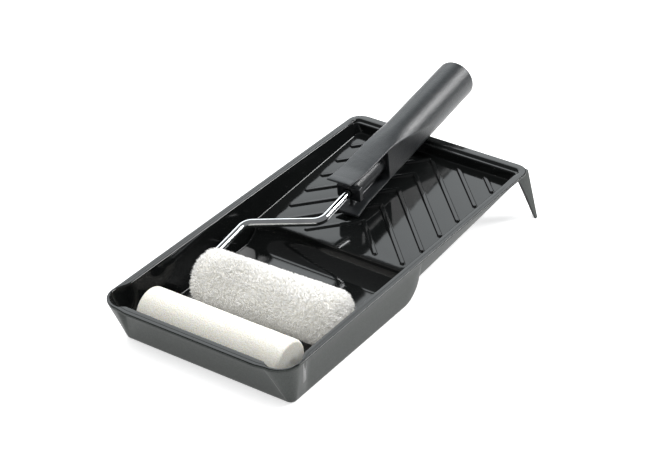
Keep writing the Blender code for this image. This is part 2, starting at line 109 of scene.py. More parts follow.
PILE_LEFT = -0.0485
PILE_RIGHT = 0.0595
FOAM_RADIUS = 0.0162
FOAM_LENGTH = 0.1140
FOAM_CENTRE_X = 0.0005
FOAM_FROM_FRONT = 0.0320
FOAM_HEIGHT = 0.0183
FOAM_EDGE_RADIUS = 0.0022
CLOSED_END = 0.0050
END_DOME = 0.0010
DIMPLE_DEPTH = 0.0006
DIMPLE_RADIUS = 0.0055
CORE_RADIUS = 0.0090
CORE_WALL = 0.0015
CORE_INSET = 0.0030
BEARING_FLANGE = 0.0015

GRIP_RADIUS = 0.0147
HANDLE_END = 0.2770
HEAD_START = 0.1083
LOWER_PLATE_START = 0.1150
HEAD_RADIUS = 0.0158
HEAD_HALF_WIDTH = 0.0100
LIP_HALF_WIDTH = 0.0095
LIP_HEIGHT = 0.0173
LOWER_LIP_HEIGHT = 0.0162
LIP_LENGTH = 0.0240
NECK_LENGTH = 0.0680
FLARE_START = 0.1580
FLARE_LENGTH = 0.0660
PLATE_WALL = 0.0016
INNER_PLANE = 0.0110
WINDOW_END = 0.1585
BLOCK_START = 0.1191
BLOCK_THICKNESS = 0.0050
BLOCK_HALF_WIDTH = 0.0094
BLOCK_HALF_HEIGHT = 0.0054
BOSS_RADIUS = 0.0070
WEB_HALF_WIDTH = 0.0012
BORE_END = 0.1880
BEYOND = 0.0200
END_ROUND = 0.0024
PLATE_HEIGHT = 0.0143
PLATE_FLATNESS = 0.80
PLATE_END = 0.1500
PLATE_FADE = 0.0450
UPPER_INNER_PLANE = 0.0125
END_DOME_HEIGHT = 0.0009

RISER_HEIGHT = FLOOR_DEPTH - RAMP_FRONT_DEPTH
RISER_START = RAMP_FRONT - math.sqrt(RISER_RADIUS**2 - (RISER_RADIUS - RISER_HEIGHT) ** 2)

# Stations of the wall mesh, from the front, and the number of columns in each run.
WELL_SIDE_START = 0.0290
RIM_SIDE_START = 0.0208
WELL_SIDE_END = 0.0440
REAR_STEP_START = 0.2700
RAMP_SIDE_END = 0.2840
FLOOR_SIDE_END = 0.2880
RIM_SIDE_END = 0.2897
STATION_GAP = 0.00012
LIP_BLEND_END = 0.0300
LIP_BLEND_X = 0.0535
STEP_FRONT_RUN = 0.0525
WELL_COLUMNS = 8
FRONT_COLUMNS = 14
CORNER_COLUMNS = 22
LIP_COLUMNS = 8
REAR_CORNER_COLUMNS = 14
REAR_COLUMNS = 14
RAMP_DETAIL_START = 0.0015  # from the ramp's front edge to where its surface is plain

# Detail that only the visual model has.
RIM_ROUND = 0.0006
INNER_ROUND = 0.0010
FLOOR_ROUND = 0.0013
EDGE_ROUND = 0.0006
PANEL_CROWN = 0.00010
NAP_BASE_RADIUS = 0.0168
NAP_EDGE_RADIUS = 0.0055
NAP_REACH = 0.0200  # strands past this radius lie down, so that a turned sleeve stays in the tray
NAP_YIELD = 0.50
NAP_PIECES = 2
STRANDS_PER_PIECE = 19000
TUFTS = 2600
TUFT_HEIGHT = 0.0034
STRAND_LENGTHS = 0.0034, 0.0060
STRAND_RADII = 0.00016, 0.00030
RIB_ZONE_HALF_WIDTH = 0.056  # the ribs lie nearer the middle than this
RIB_ZONE_LENGTH = 0.142

CAMERA_PLACE = 0.6739, -0.9041, 0.7699
CAMERA_ANGLES = 34.87, 58.07, -0.69  # turn, tilt and roll
CAMERA_LENS = 114.42

AXLE_FRAME = (
    Matrix.Translation((0.0, AXLE_FROM_FRONT - ORIGIN_FROM_FRONT, AXLE_HEIGHT))
    @ Euler((HANDLE_TILT, 0.0, AXLE_YAW)).to_matrix().to_4x4()
)
SPARE_FRAME = Matrix.Translation((FOAM_CENTRE_X, FOAM_FROM_FRONT - ORIGIN_FROM_FRONT, FOAM_HEIGHT))
Z_TO_X = Matrix.Rotation(math.pi / 2, 4, "Y")


# ---- mesh helpers

def add_object(name, data):
    obj = bpy.data.objects.new(name, data)
    bpy.context.scene.collection.objects.link(obj)
    return obj


def add_piece(name, mesh, material, smooth=True, sharp_angle=None):
    obj = add_object(name, mesh)
    if smooth:
        mesh.shade_smooth()
    if sharp_angle:
        mesh.set_sharp_from_angle(angle=math.radians(sharp_angle))
    mesh.materials.append(material)
    return obj


def mesh_from(name, points, faces, transform=None):
    mesh = bpy.data.meshes.new(name)
    mesh.from_pydata([tuple(map(float, p)) for p in points], [], faces)
    if transform is not None:
        mesh.transform(transform)
    mesh.validate()
    return mesh


@contextlib.contextmanager
def editing(mesh):
    """A bmesh of the mesh, written back at the end."""
    bm = bmesh.new()
    bm.from_mesh(mesh)
    yield bm
    bm.to_mesh(mesh)
    bm.free()


def outward(mesh):
    """Turns the faces of a closed mesh outwards."""
    with editing(mesh) as bm:
        bmesh.ops.recalc_face_normals(bm, faces=bm.faces)
    return mesh


def ring_faces(points, count, looped=False):
    """Faces that join rings of count points, each ring closed on itself."""
    rings = len(points) // count
    faces = []
    for ring in range(rings if looped else rings - 1):
        low, high = ring * count, (ring + 1) % rings * count
        for i in range(count):
            j = (i + 1) % count
            faces.append((low + i, low + j, high + j, high + i))
    return faces


def solid(name, points, count, transform=None, looped=False):
    """A closed mesh through rings of count points; the first and last ring are capped or joined."""
    faces = ring_faces(points, count, looped)
    if not looped:
        faces += [tuple(range(count))[::-1], tuple(range(len(points) - count, len(points)))]
    return outward(mesh_from(name, points, faces, transform))


def lathe_points(profile, steps):
    """Rings round the Z axis through (radius, height) points."""
    angles = np.linspace(0, math.tau, steps, endpoint=False)
    rings = [
        np.column_stack([r * np.cos(angles), r * np.sin(angles), np.full(steps, z)])
        for r, z in profile
    ]
    return np.concatenate(rings)


def lathe(name, profile, steps, transform, looped=False):
    """A turned solid. A looped profile is a closed section; otherwise its ends are near the axis."""
    return solid(name, lathe_points(profile, steps), steps, transform, looped)


def arc(centre, radius, start, end, count):
    """Points on an arc in degrees, end points included."""
    angles = np.radians(np.linspace(start, end, count))
    return [(centre[0] + radius * math.cos(a), centre[1] + radius * math.sin(a)) for a in angles]


def bezier(first, corner, last, shares):
    """Points of a rounded corner between two straight runs."""
    return [(1 - t) ** 2 * first + 2 * t * (1 - t) * corner + t * t * last for t in shares]


def unit(vectors):
    return vectors / np.linalg.norm(vectors, axis=-1, keepdims=True)


def smoothstep(t):
    t = np.clip(t, 0.0, 1.0)
    return t * t * (3 - 2 * t)


# ---- tray

def ramp_z(y, grow=0.0):
    drop = grow * math.hypot(1, RAMP_SLOPE)
    return -RAMP_FRONT_DEPTH + RAMP_SLOPE * (y - RAMP_FRONT) - drop


def floor_section(grow):
    """(y, z) down the middle of the floor from the well over the riser to the ramp, z from the rim down.

    grow moves the section out through the wall, to draw the underside.
    """
    start = RISER_START
    centre_z, radius = -FLOOR_DEPTH + RISER_RADIUS, RISER_RADIUS + grow
    edge_y = RAMP_FRONT + grow
    low = ramp_z(edge_y, grow) - EDGE_ROUND
    stop = math.acos((centre_z - low) / radius)
    spout = np.linspace(WELL_SIDE_START, WELL_SIDE_END, WELL_COLUMNS)
    well_y = [*spout, *np.linspace(WELL_SIDE_END, start - 0.0080, 10)[1:]]
    well = [(float(y), -FLOOR_DEPTH - grow) for y in well_y]
    riser = [
        (start + radius * math.sin(a), centre_z - radius * math.cos(a))
        for a in np.linspace(0.0, stop, 17)
    ]
    tilt = math.degrees(math.atan(RAMP_SLOPE))
    centre = (edge_y + EDGE_ROUND, ramp_z(edge_y + EDGE_ROUND, grow) - EDGE_ROUND)
    edge = arc(centre, EDGE_ROUND, 172, 90 + tilt, 5)
    ramp_y = [*np.linspace(RAMP_FRONT + grow + 0.0020, RAMP_SIDE_END, 22), FLOOR_SIDE_END]
    ramp = [(y, ramp_z(y, grow)) for y in ramp_y]
    return well + riser + edge + ramp


def floor_depth(y, grow):
    """Depth of the floor at y, away from the riser."""
    return np.where(y > RAMP_FRONT, ramp_z(y, grow), -FLOOR_DEPTH - grow)


def outline(half_width, front, rear, run, corner, rear_radius, stations):
    """Half of a closed outline as (x, y), from the middle of the front round to the middle of the rear."""
    points = [(run * t, front) for t in np.linspace(0.0, 1.0, FRONT_COLUMNS)] + corner
    points += [(half_width, y) for y in stations]
    centre = (half_width - rear_radius, rear - rear_radius)
    points += arc(centre, rear_radius, 0, 90, REAR_CORNER_COLUMNS)
    points += [(centre[0] * (1 - t), rear) for t in np.linspace(0.0, 1.0, REAR_COLUMNS + 1)[1:]]
    return np.array(points)


def spout_corner(grow):
    """Inner edge of the rim round a front corner: from the flange down to the narrow lip and along it."""
    centre = (TRAY_WIDTH / 2 - FRONT_CORNER_RADIUS, CORNER_SETBACK + FRONT_CORNER_RADIUS)
    radius = FRONT_CORNER_RADIUS - SPOUT_LIP + grow
    lip = arc(centre, radius, -92, 10, CORNER_COLUMNS - LIP_COLUMNS)
    blend = []
    for i in range(LIP_COLUMNS):
        t = i / LIP_COLUMNS
        x = LIP_BLEND_X + (lip[0][0] - LIP_BLEND_X) * t
        y = FRONT_FLANGE - grow + (lip[0][1] - FRONT_FLANGE + grow) * float(smoothstep(t))
        blend.append((x, y))
    return blend + lip


def spread(values, gap):
    """The values moved up where needed, so that each is at least gap above the one before."""
    result = [values[0]]
    for value in values[1:]:
        result.append(max(value, result[-1] + gap))
    return result


def tray_outlines(grow):
    """The (x, y) outlines of rim, step, inner edge and floor edge, and the floor edge's z."""
    half, inner_half = TRAY_WIDTH / 2, TRAY_WIDTH / 2 - SIDE_FLANGE
    section = floor_section(grow)
    stations = [y for y, _ in section]
    spaced = [*np.linspace(RIM_SIDE_START, WELL_SIDE_END, WELL_COLUMNS)]
    spaced += [y for y, _ in floor_section(0.0)][WELL_COLUMNS:-1]
    spaced = spread(spaced, STATION_GAP) + [RIM_SIDE_END]
    centre = (half - FRONT_CORNER_RADIUS, CORNER_SETBACK + FRONT_CORNER_RADIUS)
    rim_arc = arc(centre, FRONT_CORNER_RADIUS, -90, 0, CORNER_COLUMNS)
    rim = outline(half, 0.0, TRAY_LENGTH, centre[0] - 0.0080, rim_arc, REAR_CORNER_RADIUS, spaced)
    step_rear = TRAY_LENGTH - REAR_FLANGE + grow
    inner_radius = REAR_CORNER_RADIUS / 3 + grow
    corner = spout_corner(grow)
    args = (inner_half + grow, FRONT_FLANGE - grow)
    step, inner = (
        outline(*args, y, STEP_FRONT_RUN, corner, inner_radius, spaced)
        for y in (step_rear, step_rear - STEP_WIDTH)
    )
    first = FRONT_COLUMNS + CORNER_COLUMNS
    lip_x = corner[-1][0]
    for ring in (step, inner):
        side = ring[first : first + len(stations)]
        t = smoothstep((side[:, 1] - corner[-1][1]) / (LIP_BLEND_END - corner[-1][1]))
        side[:, 0] = lip_x + (side[:, 0] - lip_x) * t
    floor_centre = (FLOOR_HALF_WIDTH - FLOOR_FRONT_RADIUS, FLOOR_FRONT + FLOOR_FRONT_RADIUS)
    floor_arc = arc(floor_centre, FLOOR_FRONT_RADIUS + grow, -90, 0, CORNER_COLUMNS)
    floor = outline(
        FLOOR_HALF_WIDTH + grow, FLOOR_FRONT - grow, FLOOR_REAR + grow, floor_centre[0] - 0.004,
        floor_arc, FLOOR_REAR_RADIUS + grow, stations,
    )
    depth = floor_depth(floor[:, 1], grow)
    depth[first : first + len(stations)] = [z for _, z in section]
    return rim, step, inner, floor, depth


def inward_of(floor):
    """Unit directions from the floor's edge to the inside of the floor, square to its outline."""
    ahead = np.roll(floor, -1, axis=0)
    behind = np.roll(floor, 1, axis=0)
    ahead[-1] = floor[-1] + (floor[-1] - floor[-2])
    behind[0] = floor[0] - (floor[1] - floor[0])
    along = unit(ahead - behind)
    return np.column_stack([-along[:, 1], along[:, 0]])


def with_z(points, z):
    return np.column_stack([points, np.broadcast_to(z, len(points))])


def half_rings(grow, under):
    """Rings of (x, y, z) from the rim's edge to the floor, for the half at x >= 0."""
    rim, step, inner, floor, depth = tray_outlines(grow)
    side_start = FRONT_COLUMNS + CORNER_COLUMNS
    side_end = side_start + len(floor_section(0.0))
    behind = (np.arange(len(rim)) >= side_end).astype(float)
    drop, rear = -STEP_DROP * behind, behind[:, None]
    # On the sides and the front the step's rings lie flat on the flange, close to its edge at the rear.
    width = np.linalg.norm(rim - inner, axis=1, keepdims=True)
    away = unit(rim - inner)
    near = smoothstep((rim[:, 1:] - REAR_STEP_START) / (RAMP_SIDE_END - REAR_STEP_START))
    rings = [with_z(0.5 * (rim + step) * (1 - rear) + (0.6 * step + 0.4 * rim) * rear, -grow)]
    for share, close, shift, fall in (
        (0.55, 0.0007, 0.0007, 0.0), (0.48, 0.0006, 0.0003, 0.12),
        (0.42, 0.0005, -0.0003, 0.88), (0.36, 0.0004, -0.0007, 1.0),
    ):
        flat = inner + away * (width * share * (1 - near) + close * near)
        rings.append(with_z(flat * (1 - rear) + (step + [0, shift]) * rear, -grow + drop * fall))
    top, bottom, outer = with_z(inner, -grow + drop), with_z(floor, depth), rings[-1]
    round_top = np.minimum(0.0004 if under else INNER_ROUND, np.linalg.norm(outer - top, axis=1) * 0.8)
    round_low = np.minimum(FLOOR_ROUND + grow, 0.45 * np.linalg.norm(bottom - top, axis=1))
    down = unit(bottom - top)
    first = top + unit(outer - top) * round_top[:, None]
    last = top + down * round_top[:, None]
    start = bottom - down * round_low[:, None]
    rings += bezier(first, top, last, np.linspace(0, 1, 3 if under else 7))
    rings += [last + (start - last) * t for t in (0.33, 0.67)]
    flat = floor + inward_of(floor) * (FLOOR_ROUND * 0.8)
    end_z = floor_depth(flat[:, 1], grow)
    side = slice(side_start, side_end)
    end_z[side] = depth[side]
    flat[side, 1] = floor[side, 1]
    rings += bezier(start, bottom, with_z(flat, end_z), np.linspace(0, 1, 4 if under else 9))
    return rings


def whole(ring):
    """A ring for both halves, from the half at x >= 0."""
    mirrored = ring[-2:0:-1] * [-1, 1, 1]
    return np.concatenate([ring, mirrored])


def rib_lines():
    """The chevrons' middle lines as lists of (x, y), y from the front. The last two are cut by the rear."""
    lines = []
    for number in range(RIB_COUNT):
        apex = RIB_FIRST_APEX + RIB_PITCH * number
        reach = min(apex - RIB_START, RIB_SIDE_END + RIB_SIDE_SPREAD * number)
        inner = max(0.0, apex - RIB_REAR_END)
        arms = [[(side * reach, apex - reach), (side * inner, apex - inner)] for side in (1, -1)]
        lines += arms if inner else [arms[0] + arms[1][:1]]
    return lines


RIB_SECTION = (  # distance from the middle line and height, from the crown down to the ramp
    (0.00050, 0.00110), (0.00105, 0.00109), (0.00122, 0.00104), (0.00134, 0.00093), (0.00146, 0.00072),
    (0.00158, 0.00040), (0.00168, 0.00018), (0.00178, 0.00006), (0.00192, 0.0), (0.00230, 0.0),
)


def rib_distance(points, lines):
    """Distance of each (x, y) to the nearest rib's middle line."""
    nearest = np.full(len(points), 1.0)
    for line in lines:
        for a, b in zip(line, line[1:]):
            a, b = np.array(a), np.array(b)
            t = np.clip((points - a) @ (b - a) / ((b - a) @ (b - a)), 0, 1)
            nearest = np.minimum(nearest, np.linalg.norm(points - a - t[:, None] * (b - a), axis=1))
    return nearest


def rib_contour(line, distance):
    """A closed line round a rib, at a distance from its middle line."""
    spots = [Vector(p) for p in line]

    def run(a, b):
        """One side of an arm: the one on the right of the way from a to b."""
        direction = (b - a).normalized()
        normal = Vector((direction.y, -direction.x)) * distance
        first, last = a + normal, b + normal
        count = max(2, round((last - first).length / 0.003))
        return [first.lerp(last, i / count) for i in range(count + 1)]

    def turn(centre, first, last):
        a = math.atan2(first.y - centre.y, first.x - centre.x)
        b = math.atan2(last.y - centre.y, last.x - centre.x)
        sweep = (b - a) % math.tau
        count = max(2, round(math.degrees(sweep) / 18))
        angles = [a + sweep * i / count for i in range(1, count)]
        return [centre + Vector((math.cos(angle), math.sin(angle))) * distance for angle in angles]

    arms = list(zip(spots, spots[1:]))
    outer = [run(a, b) for a, b in arms]
    inner = [run(b, a) for a, b in arms[::-1]]
    if len(arms) > 1:
        # At the apex the outer side turns and the inner side is mitred.
        corner = spots[1] - Vector((0.0, distance * math.sqrt(2)))
        for part in inner:
            far = max(part[0].x, part[-1].x, key=abs)
            part[:] = [p for p in part if (p - corner).length > 0.0004 and p.x * far > 0]
        inner = [inner[0] + [corner] + inner[1]]
        outer = [outer[0] + turn(spots[1], outer[0][-1], outer[1][0]) + outer[1]]
    outer, inner = outer[0], inner[0]
    contour = outer + turn(spots[-1], outer[-1], inner[0]) + inner + turn(spots[0], inner[-1], outer[0])
    return [(p.x, p.y) for p in contour]


def floor_mesh(border, grow, with_ribs):
    """Points and faces of the floor inside its border, triangulated along its ribs and curves."""
    section_y, section_z = np.array(floor_section(grow)).T
    steps = np.hypot(np.diff(section_y), np.diff(section_z))
    lengths = np.concatenate([[0.0], np.cumsum(steps)]) + section_y[0]
    hyp = math.hypot(1, RAMP_SLOPE)
    riser_low, riser_high = RISER_START - 0.001, RAMP_FRONT + grow + RAMP_DETAIL_START

    def length_of(y):
        """Length along the floor's section at y, for y away from the riser."""
        return np.where(y > riser_high, lengths[-1] + (y - section_y[-1]) * hyp, y)

    def flattened(points):
        return [(x, float(length_of(y))) for x, y in points]

    count, first = len(border), FRONT_COLUMNS + CORNER_COLUMNS
    side_columns = np.arange(first, first + len(lengths))
    flat = np.column_stack([border[:, 0], length_of(border[:, 1])])
    flat[side_columns, 1] = flat[count - side_columns, 1] = lengths
    coords = [tuple(p) for p in flat]
    edges = [(i, (i + 1) % count) for i in range(count)]

    def add_line(points, closed):
        start = len(coords)
        coords.extend(points)
        edges.extend((i, i + 1) for i in range(start, len(coords) - 1))
        if closed:
            edges.append((len(coords) - 1, start))

    limit = border[first, 0]
    for y, length in zip(section_y, lengths):
        if riser_low < y < riser_high:
            xs = [-limit + 0.0004, *np.linspace(-0.055, 0.055, 9), limit - 0.0004]
            add_line([(x, float(length)) for x in xs], closed=False)
    lines = rib_lines() if with_ribs else []
    for line in lines:
        for distance, _ in RIB_SECTION:
            add_line(flattened(rib_contour(line, distance)), closed=True)
    if with_ribs:
        # Points on the panels between the ribs, in rows along them.
        xs = np.arange(0.0005, 0.0605, 0.004)
        rows = itertools.product(range(RIB_COUNT + 2), (0.25, 0.4, 0.5, 0.6, 0.75), (1, -1))
        for number, share, side in rows:
            apex = RIB_FIRST_APEX + RIB_PITCH * (number - 1 + share)
            points = np.column_stack([side * xs, apex - xs])
            keep = (points[:, 1] > RAMP_FRONT + 0.004) & (points[:, 1] < RIB_REAR_END)
            keep &= rib_distance(points, lines) > RIB_CLEARANCE
            coords.extend(flattened(points[keep]))
    for x in np.linspace(-0.056, 0.056, 9):
        for y in np.linspace(FLOOR_FRONT + 0.006, riser_low - 0.004, 12):
            coords.append((float(x), float(y)))

    vectors = [Vector(map(float, c)) for c in coords]
    made, _, faces, *_ = delaunay_2d_cdt(vectors, edges, [list(range(count))], 1, 0.000001)
    x, length = np.array([tuple(v) for v in made]).T
    past = length > lengths[-1]
    y = np.where(past, section_y[-1] + (length - lengths[-1]) / hyp, np.interp(length, lengths, section_y))
    y = np.where(length < lengths[0], length, y)
    ramp = section_z[-1] + (y - section_y[-1]) * RAMP_SLOPE
    z = np.where(past, ramp, np.interp(length, lengths, section_z))
    if with_ribs:
        distance = rib_distance(np.column_stack([x, y]), lines)
        z = z + np.interp(distance, *np.array(RIB_SECTION).T) + panel_crown(x, y, distance, limit)
    return np.column_stack([x, y, z]), [tuple(f) for f in faces]


def panel_crown(x, y, distance, limit):
    """The slight swell of each panel between two ribs, as moulded panels have."""
    share = (y + np.abs(x) - RIB_FIRST_APEX) / RIB_PITCH
    swell = np.sin(math.pi * (share % 1.0)) ** 2
    edge = smoothstep((limit - np.abs(x)) / 0.006) * smoothstep((y - RIB_START) / 0.01)
    edge = edge * smoothstep((0.2890 - y) / 0.004) * (share > 0)
    return PANEL_CROWN * swell * edge * (distance > 0.0019)


def to_row(points):
    """From lengths off the rim's front edge and heights under the rim to the model's frame."""
    return points + [0.0, -ORIGIN_FROM_FRONT, TRAY_DEPTH]


def rim_edge_rings(top_ring, rim):
    """Rings round the rim's outer edge, from its top face over the rounded edge to its underside."""
    edge = with_z(rim, 0.0)
    inward = unit(top_ring[:, :2] - rim)
    over = ((2.2, 0.0), (1.0, 0.0), (0.55, -0.08), (0.2, -0.3), (0.04, -0.62), (0.0, -1.0))
    under = ((0.0, 0.7), (0.15, 0.2), (0.5, 0.0), (1.5, 0.0))
    return [
        edge + with_z(inward * inset * RIM_ROUND, z * RIM_ROUND - depth)
        for depth, part in ((0.0, over), (WALL, under))
        for inset, z in part
    ]


def tray_shell_mesh():
    """The whole moulding without its legs, as one closed mesh."""
    top = half_rings(0.0, under=False)
    rings = top[::-1] + rim_edge_rings(top[0], tray_outlines(0.0)[0]) + half_rings(WALL, under=True)
    rings = [whole(ring) for ring in rings]
    parts = [np.concatenate(rings)]
    faces = ring_faces(parts[0], len(rings[0]))
    for border, grow, turn in ((rings[0], 0.0, 1), (rings[-1], WALL, -1)):
        points, inside = floor_mesh(border, grow, with_ribs=grow == 0.0)
        start = sum(len(part) for part in parts)
        parts.append(points)
        faces += [tuple(start + i for i in face)[::turn] for face in inside]
    mesh = mesh_from("tray_shell", to_row(np.concatenate(parts)), faces)
    with editing(mesh) as bm:
        bmesh.ops.remove_doubles(bm, verts=bm.verts, dist=0.000004)
    return outward(mesh)


def leg_mesh(side):
    """An angle section under a rear corner, flared outwards and drawn in towards its foot."""
    half, rear = TRAY_WIDTH / 2 - 0.0012, TRAY_LENGTH - 0.0012
    rings = []
    for i in range(13):
        t = i / 12
        width = LEG_TOP_WIDTH + (LEG_FOOT_WIDTH - LEG_TOP_WIDTH) * t ** 0.8
        x, y = half + LEG_FLARE * t, rear - 0.0025 * t
        z = -WALL * 0.6 + (WALL * 0.6 - TRAY_DEPTH) * t
        out, thin = 0.0025, WALL * 0.8
        outer = [(x - width, y)] + arc((x - out, y - out), out, 90, 0, 6) + [(x, y - width)]
        inner = [(x - thin, y - width)] + arc((x - out, y - out), out - thin, 0, 90, 6)
        inner += [(x - width, y - thin)]
        rings.append(with_z(np.array(outer + inner) * [side, 1], z))
    return solid("leg", to_row(np.concatenate(rings)), len(rings[0]))


def mark_outside(mesh):
    """A face attribute for the outer walls and legs, which are satin where the inside is glossy."""
    outside = mesh.attributes.new("outside", "FLOAT", "FACE")
    centre = TRAY_LENGTH / 2 - ORIGIN_FROM_FRONT
    for face, value in zip(mesh.polygons, outside.data):
        x, y, _ = face.center
        nx, ny, nz = face.normal
        on_ramp = abs(x) < RIB_ZONE_HALF_WIDTH and centre < y < centre + RIB_ZONE_LENGTH
        outward_distance = nx * x + ny * (y - centre)
        value.value = float(abs(nz) < 0.6 and outward_distance > 0.045 and not on_ramp)


def make_tray(material):
    mesh = tray_shell_mesh()
    with editing(mesh) as bm:
        for side in (1, -1):
            bm.from_mesh(leg_mesh(side))
    mark_outside(mesh)
    tray = add_piece("tray_moulding", mesh, material, sharp_angle=50)
    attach(tray, "tray")
    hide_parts("tray_body")
    return tray


# ---- roller frame

def rounded_path(corners, radii, step_angle):
    """A line through the corners, each bend replaced by an arc of its radius."""
    points = [Vector(corners[0])]
    for before, corner, after, radius in zip(corners, corners[1:], corners[2:], radii):
        corner = Vector(corner)
        into = (corner - Vector(before)).normalized()
        out = (Vector(after) - corner).normalized()
        turn = into.angle(out)
        start = corner - into * radius * math.tan(turn / 2)
        side = (out - into * into.dot(out)).normalized()
        steps = max(2, round(math.degrees(turn) / step_angle))
        for i in range(steps + 1):
            a = turn * i / steps
            points.append(start + into * radius * math.sin(a) + side * radius * (1 - math.cos(a)))
    points.append(Vector(corners[-1]))
    return points


def tube_mesh(name, path, radius, sides, transform, end_round):
    """A round bar along a flat path in the plane z = 0, with rounded ends."""
    rings = []
    last = len(path) - 1
    for i, point in enumerate(path):
        ahead, behind = path[min(i + 1, last)], path[max(i - 1, 0)]
        along = (ahead - behind).normalized()
        side = Vector((-along.y, along.x, 0.0))
        ends = [(0.0, 1.0)]
        if i == 0:
            ends = [(0.0, 1 - end_round), (end_round * 0.3, 1 - end_round * 0.3), (end_round, 1.0)]
        if i == last:
            ends = [(-end_round, 1.0), (-end_round * 0.3, 1 - end_round * 0.3), (0.0, 1 - end_round)]
        for shift, scale in ends:
            for k in range(sides):
                a = math.tau * k / sides
                offset = side * math.cos(a) + Vector((0.0, 0.0, math.sin(a)))
                rings.append(point + along * shift * radius + offset * radius * scale)
    return solid(name, rings, sides, transform)


def make_wire(material):
    corners = [
        (WIRE_TIP_X, 0.0, 0.0), (WIRE_LEG_X, 0.0, 0.0), (WIRE_LEG_X, WIRE_SHOULDER, 0.0),
        (HANDLE_X, WIRE_NECK, 0.0), (HANDLE_X, WIRE_IN_HANDLE, 0.0),
    ]
    path = rounded_path(corners, (0.0065, 0.0090, 0.0100), 3.0)
    mesh = tube_mesh("bent_wire", path, WIRE_RADIUS, 40, AXLE_FRAME, 0.25)
    wire = add_piece("bent_wire", mesh, material)
    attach(wire, "frame")
    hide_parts("frame_wire")


def eased(value, start, length):
    """Rises smoothly from 0 at the start to 1 one length further."""
    return float(smoothstep((value - start) / length))


def head_half_width(s):
    """Half width of the handle seen from above: narrow at the head, flaring out to the round grip."""
    lip = (HEAD_HALF_WIDTH - LIP_HALF_WIDTH) * (1 - eased(s, HEAD_START, LIP_LENGTH))
    full = GRIP_RADIUS + 0.0001
    return HEAD_HALF_WIDTH - lip + (full - HEAD_HALF_WIDTH) * eased(s, FLARE_START, FLARE_LENGTH)


def handle_section(s, share):
    """(x, s, z) points round the handle: an arched top and belly between flat flanks, flat at the lips."""
    radius = HEAD_RADIUS - (HEAD_RADIUS - GRIP_RADIUS) * eased(s, HEAD_START + LIP_LENGTH, NECK_LENGTH)
    radius *= share
    widest = math.asin(min(head_half_width(s) / radius, math.sin(math.radians(89))))
    flat = 1 - eased(s, HEAD_START, LIP_LENGTH)
    plate = PLATE_HEIGHT + (LIP_HEIGHT - PLATE_HEIGHT) * flat
    plate_share = max(flat, PLATE_FLATNESS * (1 - eased(s, PLATE_END, PLATE_FADE)))
    points = []
    for side, lip, share in ((1, plate, plate_share), (-1, LOWER_LIP_HEIGHT, flat)):
        for angle in np.linspace(-widest, widest, 49) * side:
            height = radius * math.cos(angle)
            points.append((radius * math.sin(angle), s, side * (height + (lip - height) * share)))
    return points


def handle_blank():
    """The handle's outer shape, from the lips to the closed end with its rounded rim."""
    shoulder = HANDLE_END - END_DOME_HEIGHT - END_ROUND
    stations = [(s, 1.0) for s in np.linspace(HEAD_START, shoulder, 120)]
    rim = GRIP_RADIUS - END_ROUND
    stations += [(s, r / GRIP_RADIUS) for s, r in arc((shoulder, rim), END_ROUND, 80, 10, 8)]
    stations += [
        (HANDLE_END - END_DOME_HEIGHT * t * t, max(rim * t, 0.0001) / GRIP_RADIUS)
        for t in np.linspace(0.98, 0.0, 8)
    ]
    sections = [handle_section(float(s), float(share)) for s, share in stations]
    points = [point for section in sections for point in section]
    return solid("handle_grip", points, len(sections[0]))


def cavity_mesh():
    """The side-to-side opening between the plates of the head."""
    upper, lower = LIP_HEIGHT - PLATE_WALL, LOWER_LIP_HEIGHT - PLATE_WALL
    start, round_off = HEAD_START - BEYOND, 0.0025
    outline = [(start, upper), (HEAD_START, upper)]
    outline += [
        (HEAD_START + LIP_LENGTH * t, upper + (UPPER_INNER_PLANE - upper) * eased(t, 0.0, 1.0))
        for t in np.linspace(0.1, 1.0, 10)
    ]
    corner = WINDOW_END - round_off
    outline += arc((corner, UPPER_INNER_PLANE - round_off), round_off, 90, 0, 6)
    outline += arc((corner, -INNER_PLANE + round_off), round_off, 0, -90, 6)
    outline += [
        (HEAD_START + LIP_LENGTH * t, -lower + (lower - INNER_PLANE) * eased(t, 0.0, 1.0))
        for t in np.linspace(1.0, 0.1, 10)
    ]
    outline += [(HEAD_START, -lower), (start, -lower)]
    points = [(x, s, z) for x in (-BEYOND, BEYOND) for s, z in outline]
    return solid("cavity", points, len(outline))


def applied(obj):
    """The object's mesh with its modifiers applied."""
    graph = bpy.context.evaluated_depsgraph_get()
    return bpy.data.meshes.new_from_object(obj.evaluated_get(graph), depsgraph=graph)


def cut(obj, mesh):
    """Takes a shape away from the object and drops the cutter."""
    cutter = add_object("cutter", mesh)
    modifier = obj.modifiers.new("cut", "BOOLEAN")
    modifier.operation = "DIFFERENCE"
    modifier.object = cutter
    result = applied(obj)
    obj.modifiers.clear()
    obj.data = result
    bpy.data.objects.remove(cutter)


def block_mesh(low, high):
    """A box between two corners."""
    mesh = bpy.data.meshes.new("block")
    with editing(mesh) as bm:
        bmesh.ops.create_cube(bm, size=1.0)
        low, high = Vector(low), Vector(high)
        for vert in bm.verts:
            vert.co = (low + high) / 2 + Vector(vert.co[i] * (high - low)[i] for i in range(3))
    return mesh


def rod_mesh(radius, start, end):
    profile = [(0.0001, start), (radius, start), (radius, end), (0.0001, end)]
    return lathe("rod", profile, 64, Matrix.Rotation(-math.pi / 2, 4, "X"))


